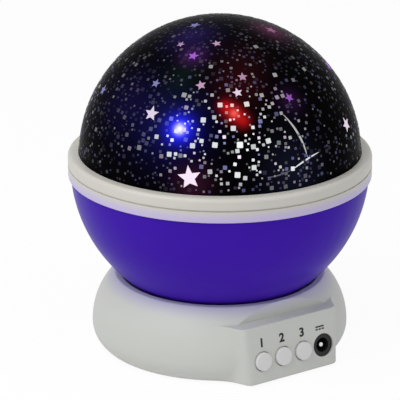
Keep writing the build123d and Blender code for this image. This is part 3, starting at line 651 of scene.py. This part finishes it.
def face_place(u, v):
    """Placement on the control panel, with its own up and outward directions."""
    spot = face_middle + Vector((u, 0, 0)) + face_up * v + face_out * print_lift
    turn = Matrix((Vector((1, 0, 0)), face_up, face_out)).transposed()
    return Matrix.Translation(spot) @ turn.to_4x4()


def numeral(text, u, ink):
    """Printed numeral on the control panel."""
    bpy.ops.object.text_add()
    mark = bpy.context.object
    mark.data.body = text
    mark.data.size = numeral_height / numeral_share
    mark.data.align_x, mark.data.align_y = "CENTER", "CENTER"
    mark.data.extrude = print_thick / 2
    mark.data.offset = numeral_bold
    pick(mark)
    bpy.ops.object.convert(target="MESH")
    mark = bpy.context.object
    settle(mark, face_place(u, mark_row))
    dress(mark, "mark_" + text, ink, "base")


def current_sign(u, ink):
    """Generic sign for direct current: a line over three dashes."""
    bars = []
    for x, y, length in ((0, 0.55, 4.2), (-1.55, -0.55, 1.1), (0, -0.55, 1.1), (1.55, -0.55, 1.1)):
        bpy.ops.mesh.primitive_cube_add(size=1.0, location=(0, 0, 0))
        bar = bpy.context.object
        size = Matrix.Diagonal((length * MM, sign_line, print_thick, 1))
        settle(bar, face_place(u + x * MM, mark_row + y * MM) @ size)
        bars.append(bar)
    dress(join(bars), "current_sign", ink, "base")


# ------------------------------------------------------------------ dressing the model
slots = {row["node"]: row["material_slot"] for row in frame["record"]["subparts"]}
body_of = {
    node: body for body, nodes in frame["record"]["behaviour"]["bodies"].items() for node in nodes
}
for node, piece in frame["nodes"].items():
    piece.material_slots[0].material = finishes[slots[node]]

# nodes that are seen, and the angle in degrees from which an edge of theirs stays sharp
sharp_from = {
    "base_shell": 28, "base_bottom": 28, "rubber_feet": 40, "battery_door": 28,
    "power_inlet": 30, "inlet_pin": 40, "lower_bowl": 30, "trim_ring": 30, "star_dome": 30,
    "button_1": 35, "button_2": 35, "button_3": 35, "light_post": 30, "led_blue": 40,
    "led_red": 40, "led_green": 40, "led_white": 40, "light_board": 30,
}
for node, angle in sharp_from.items():
    smooth_skin(node, slots[node], body_of[node], angle)

light_windows()
ink = print_ink()
for number, u in enumerate(button_places, start=1):
    numeral(str(number), u, ink)
current_sign(sign_place, ink)


# ------------------------------------------------------------------ floor, light and camera
def paper_floor():
    """Pale floor that looks nearly white and still takes the shadow."""
    bpy.ops.mesh.primitive_plane_add(size=8.0, location=(0, 0, 0))
    floor = bpy.context.object
    floor.name = "floor"
    finish = Finish("floor paper", roughness=0.9, specular=0.1)
    finish.set(Base_Color=(0.96, 0.96, 0.96, 1))
    seen = finish.node("LightPath", out="Is Camera Ray")
    mirrored = finish.node("LightPath", out="Is Glossy Ray")
    white = seen * 0.94 + mirrored * 0.60     # nearly all where seen, more than half in gloss
    glow = finish.node("Emission", None, {"Color": (1, 1, 1, 1), "Strength": 1.0})
    paper = Term(finish, finish.surface.outputs[0])
    mixed = finish.node("MixShader", None, {0: white, 1: paper, 2: glow})
    finish.feed(finish.tree.nodes["Material Output"].inputs["Surface"], mixed)
    floor.data.materials.append(finish.material)


def even_sky():
    """Soft light from all sides, and a pale backdrop where the sky itself is seen."""
    world = bpy.data.worlds.new("sky")
    bpy.context.scene.world = world
    world.use_nodes = True
    sky = Nodes(world.node_tree)
    even = sky.tree.nodes["Background"]
    sky.feed(even.inputs["Color"], (0.96, 0.98, 1.0, 1))
    sky.feed(even.inputs["Strength"], 0.50)
    backdrop = sky.node("Background", None, {"Color": (0.8, 0.8, 0.8, 1), "Strength": 1.0})
    seen, mirrored, through = (sky.node("LightPath", out=f"Is {kind} Ray")
                               for kind in ("Camera", "Glossy", "Transmission"))
    shown = sky.maths("MAXIMUM", sky.maths("MAXIMUM", seen, mirrored), through)
    mixed = sky.node("MixShader", None, {0: shown, 1: Term(sky, even.outputs[0]), 2: backdrop})
    sky.feed(sky.tree.nodes["World Output"].inputs["Surface"], mixed)


def soft_lamp(name, azimuth, height, distance, size, power):
    """Square soft lamp that points at the middle of the object."""
    aim = Vector((0, 0, 65 * MM))
    turn, rise = math.radians(azimuth), math.radians(height)
    way = Vector((math.sin(turn) * math.cos(rise), -math.cos(turn) * math.cos(rise),
                  math.sin(rise)))
    data = bpy.data.lights.new(name, "AREA")
    data.size, data.energy = size, power
    lamp = bpy.data.objects.new(name, data)
    bpy.context.collection.objects.link(lamp)
    lamp.location = aim + way * distance
    lamp.rotation_euler = way.to_track_quat("Z", "Y").to_euler()


def aim_camera():
    """Long lens from the front left, a metre off and a little above."""
    width, focal, aside = 400, 2561, 21      # of the view, the lens and the side step, in pixels
    azimuth, down = math.radians(-35.0), 19.35
    above_ring = 0.3291
    data = bpy.data.cameras.new("camera")
    data.sensor_width = 36.0
    data.lens = focal / width * data.sensor_width
    camera = bpy.data.objects.new("camera", data)
    bpy.context.collection.objects.link(camera)
    camera.location = (math.sin(azimuth), -math.cos(azimuth), ring_top + above_ring)
    camera.rotation_euler = (math.radians(90 - down), 0, azimuth + math.atan(aside / focal))
    bpy.context.scene.camera = camera


paper_floor()
even_sky()
soft_lamp("key", azimuth=-85, height=48, distance=0.75, size=0.55, power=3.2)
soft_lamp("fill", azimuth=15, height=38, distance=0.85, size=0.70, power=1.1)
aim_camera()
bpy.context.scene.view_settings.view_transform = "Standard"
